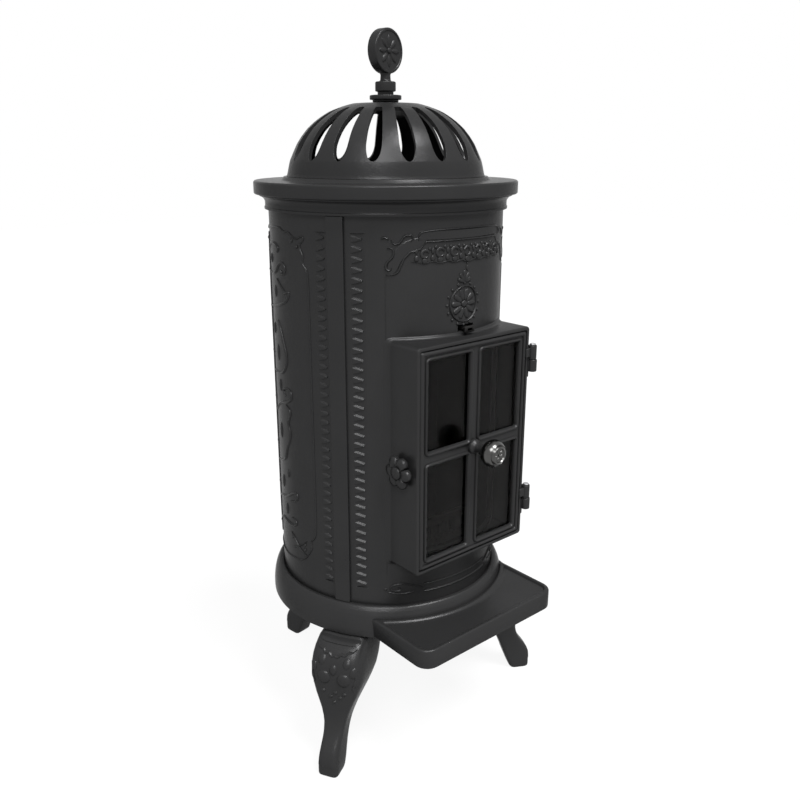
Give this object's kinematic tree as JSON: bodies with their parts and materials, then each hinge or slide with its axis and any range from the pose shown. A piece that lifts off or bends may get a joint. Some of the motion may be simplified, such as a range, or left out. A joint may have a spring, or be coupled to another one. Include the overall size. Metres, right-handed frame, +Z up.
{
  "type": "potbelly stove",
  "caption": "Round cast-iron room stove on cabriole legs, with a glazed box door, a hearth plate and an openwork dome with a finial.",
  "frame": {"origin": "on the stove's vertical axis at floor level, the centre of the bottom of its box", "axes": "+Z up, the door faces -Y, +X is the door's hinge side"},
  "size_m": [0.4714, 0.5172, 1.0819],
  "materials": {
    "iron": "satin black stove paint on cast iron, fine sand-cast grain",
    "fire_iron": "matte sooty cast iron",
    "fastener_steel": "dulled dark steel",
    "bright_steel": "polished dark nickel plating",
    "glass": "clear fire glass over a dark firebox",
    "lining": "sooty pressed fire board",
    "rope": "braided grey rope seal"
  },
  "bodies": {
    "stove": {"base_ring": "iron", "leg_front_left": "iron", "leg_front_right": "iron", "leg_rear": "iron", "leg_bolt_front_left": "fastener_steel", "leg_bolt_front_right": "fastener_steel", "leg_bolt_rear": "fastener_steel", "hearth_plate": "iron", "hearth_bolt_left": "fastener_steel", "hearth_bolt_right": "fastener_steel", "front_panel": "iron", "side_panel_left": "iron", "side_panel_right": "iron", "cover_strip_left": "iron", "cover_strip_right": "iron", "cover_strip_rear": "iron", "cornice": "iron", "top_slab": "iron", "tie_rod_1": "fastener_steel", "tie_rod_2": "fastener_steel", "tie_rod_3": "fastener_steel", "tie_rod_4": "fastener_steel", "firebox_floor": "fire_iron", "ash_pan": "fastener_steel", "lining_slab_1": "lining", "lining_slab_2": "lining", "lining_slab_3": "lining", "lining_slab_4": "lining", "lining_slab_5": "lining", "baffle_plate": "fire_iron", "log_guard": "fire_iron", "door_housing": "iron", "hinge_ear_upper": "iron", "hinge_ear_lower": "iron", "hinge_pin_upper": "fastener_steel", "hinge_pin_lower": "fastener_steel", "slide_guide": "fastener_steel", "flue_collar": "iron", "flue_bolt_left": "fastener_steel", "flue_bolt_right": "fastener_steel"},
    "door": {"door_frame": "iron", "door_glass": "glass", "door_seal": "rope", "glass_clip_left": "fastener_steel", "glass_clip_right": "fastener_steel", "clip_screw_left": "fastener_steel", "clip_screw_right": "fastener_steel", "door_lug_upper": "iron", "door_lug_lower": "iron", "knob_stem": "bright_steel", "door_knob": "bright_steel", "door_catch": "fire_iron"},
    "latch": {"latch_knob": "iron", "latch_shaft": "fastener_steel"},
    "slide": {"air_slide": "fire_iron"},
    "grate": {"fire_grate": "fire_iron"},
    "crown": {"dome": "iron", "finial_boss": "iron", "finial_stem": "iron", "finial_medallion": "iron"}
  },
  "joints": [
    {"name": "door_hinge", "type": "hinge", "parent": "stove", "child": "door", "pos_m": [0.1175, -0.2005, 0.5], "axis": [0, 0, 1], "range_deg": [0, 120]},
    {"name": "latch_turn", "type": "hinge", "parent": "stove", "child": "latch", "pos_m": [-0.1107, -0.1705, 0.4869], "axis": [-1, 0, 0], "range_deg": [0, 90]},
    {"name": "air_lever", "type": "slide", "parent": "stove", "child": "slide", "axis": [1, 0, 0], "range_m": [-0.008, 0.008]},
    {"name": "grate_lift", "type": "slide", "parent": "stove", "child": "grate", "axis": [0, 0, 1], "range_m": [0, 0.04]},
    {"name": "dome_lift", "type": "slide", "parent": "stove", "child": "crown", "axis": [0, 0, 1], "range_m": [0, 0.06]}
  ]
}
